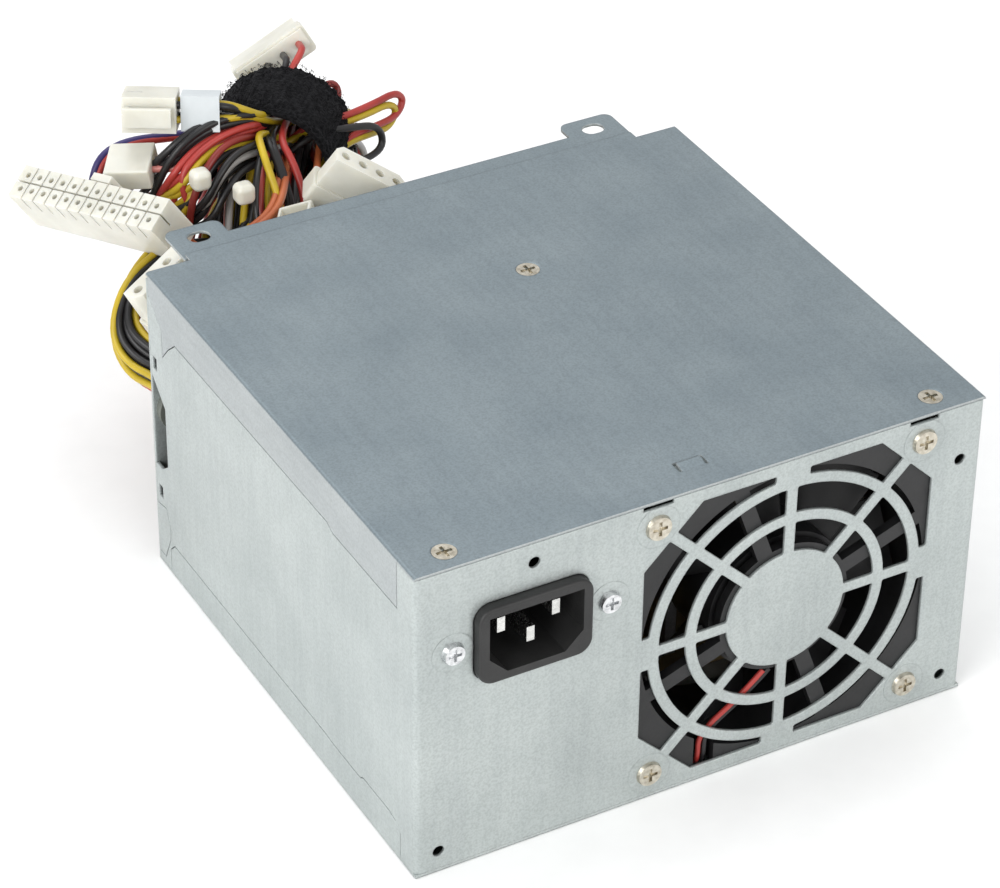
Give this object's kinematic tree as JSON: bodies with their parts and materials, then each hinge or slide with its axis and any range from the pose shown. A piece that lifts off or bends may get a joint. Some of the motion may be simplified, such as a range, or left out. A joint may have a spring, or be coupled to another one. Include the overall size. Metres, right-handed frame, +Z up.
{
  "type": "power supply unit",
  "caption": "Desktop computer power supply: galvanised steel case with fan grille and mains inlet, and a strapped hank of output wires with nylon connectors.",
  "frame": {"origin": "middle of the bottom face of the case", "axes": "+Z up; the panel with the fan grille and the inlet faces -Y; the wires leave at +Y"},
  "size_m": [0.1557, 0.2531, 0.0958],
  "materials": {
    "galvanised_top": "galvanised steel, fine speckle, blue-grey",
    "galvanised_wrap": "galvanised steel, fine speckle",
    "galvanised_base": "galvanised steel, fine speckle",
    "nickel_screw": "warm nickel plate",
    "zinc_screw": "bright zinc plate",
    "black_plastic": "black moulded nylon",
    "fan_black": "black moulded plastic",
    "steel_pin": "tinned blade",
    "bearing_brass": "sintered bronze",
    "copper": "enamelled copper windings",
    "magnet": "bonded magnet strip",
    "board": "tan phenolic board",
    "insulator": "fibre sheet",
    "heatsink": "plain aluminium",
    "capacitor": "shrink sleeve",
    "core": "yellow tape on ferrite",
    "chip": "moulded epoxy",
    "film": "dipped film capacitor",
    "glass_fuse": "glass fuse tube",
    "bush_grey": "grey-green flexible bush",
    "wire_mix": "insulated wires, mixed colours",
    "hook_loop": "black hook-and-loop tape",
    "nylon": "natural nylon, slightly translucent",
    "tag": "blank white tag"
  },
  "bodies": {
    "case": {"chassis_wrap": "galvanised_wrap", "top_cover": "galvanised_top", "base_and_rear": "galvanised_base", "cover_screws": "nickel_screw", "fan_screws": "nickel_screw", "inlet_screws": "zinc_screw", "board_screws": "zinc_screw", "cover_post": "zinc_screw", "fan_frame": "fan_black", "fan_bearing": "bearing_brass", "fan_stator": "copper", "fan_lead": "wire_mix", "fan_plug": "nylon", "inlet_housing": "black_plastic", "inlet_pins": "steel_pin", "live_lead": "wire_mix", "neutral_lead": "wire_mix", "ground_lead": "wire_mix", "circuit_board": "board", "insulating_sheet": "insulator", "heatsink_primary": "heatsink", "heatsink_secondary": "heatsink", "power_transistors": "chip", "bulk_capacitors": "capacitor", "output_capacitors": "capacitor", "main_transformer": "core", "standby_transformer": "core", "output_choke": "copper", "line_filter": "core", "bridge_rectifier": "chip", "film_capacitor": "film", "fuse": "glass_fuse", "wire_bush": "bush_grey", "wire_hank": "wire_mix", "loom_trunk": "wire_mix", "strap": "hook_loop", "cable_ties": "nylon", "main_plug": "nylon", "main_latch_rib": "nylon", "cpu_plug": "nylon", "cpu_latch_rib": "nylon", "cpu_label": "tag", "drive_plug_right": "nylon", "drive_plug_left": "nylon", "drive_plug_top": "nylon", "floppy_plug": "nylon", "small_plug": "nylon", "main_lead": "wire_mix", "cpu_lead": "wire_mix", "drive_lead_right": "wire_mix", "drive_lead_left": "wire_mix", "drive_lead_top": "wire_mix", "floppy_lead": "wire_mix", "small_lead": "wire_mix"},
    "fan_wheel": {"fan_rotor": "fan_black", "fan_shaft": "steel_pin", "fan_magnet": "magnet"},
    "main_lever": {"main_latch": "nylon"},
    "cpu_lever": {"cpu_latch": "nylon"}
  },
  "joints": [
    {"name": "fan_spin", "type": "hinge", "parent": "case", "child": "fan_wheel", "pos_m": [0.0225, -0.057, 0.043], "axis": [0, -1, 0], "continuous": true},
    {"name": "main_latch_rock", "type": "hinge", "parent": "case", "child": "main_lever", "pos_m": [-0.05904, 0.12636, 0.07386], "axis": [-0.3806, 0.9071, -0.18], "range_deg": [0, 7], "stiffness_Nm_per_rad": 0.02},
    {"name": "cpu_latch_rock", "type": "hinge", "parent": "case", "child": "cpu_lever", "pos_m": [-0.04725, 0.12939, 0.0913], "axis": [0.0999, 0.1797, 0.9786], "range_deg": [0, 7], "stiffness_Nm_per_rad": 0.02}
  ]
}
